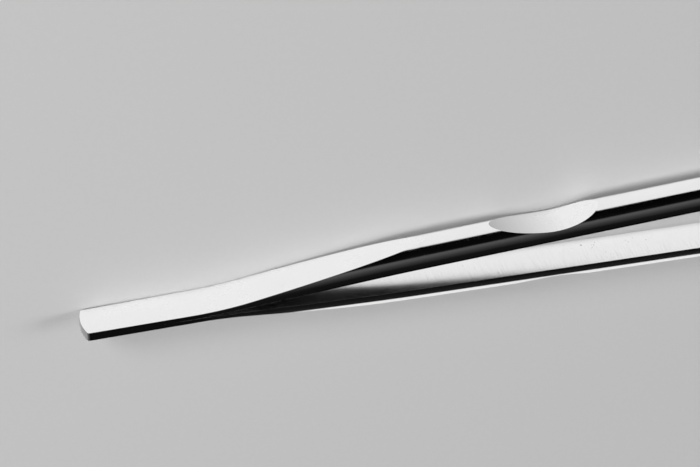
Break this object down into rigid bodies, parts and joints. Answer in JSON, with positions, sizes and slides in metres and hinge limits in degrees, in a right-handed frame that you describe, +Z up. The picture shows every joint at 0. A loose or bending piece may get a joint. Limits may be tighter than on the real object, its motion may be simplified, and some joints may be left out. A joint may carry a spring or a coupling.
{
  "type": "tweezers",
  "caption": "Round-handled precision tweezers with milled spring leaves, a finger rest in each half-round arm and fine straight tips.",
  "frame": {"origin": "centre of the tweezers' box, on the surface that they lie on", "axes": "+X from the heel to the tips, +Y from the right arm to the left arm, +Z up from the surface"},
  "size_m": [0.18, 0.017, 0.008],
  "materials": {
    "milled_metal": "neutral grey titanium, satin on the milled flats and inner faces, polished on the rounds"
  },
  "bodies": {
    "root": {"left_arm": "milled_metal", "right_arm": "milled_metal"}
  },
  "joints": []
}
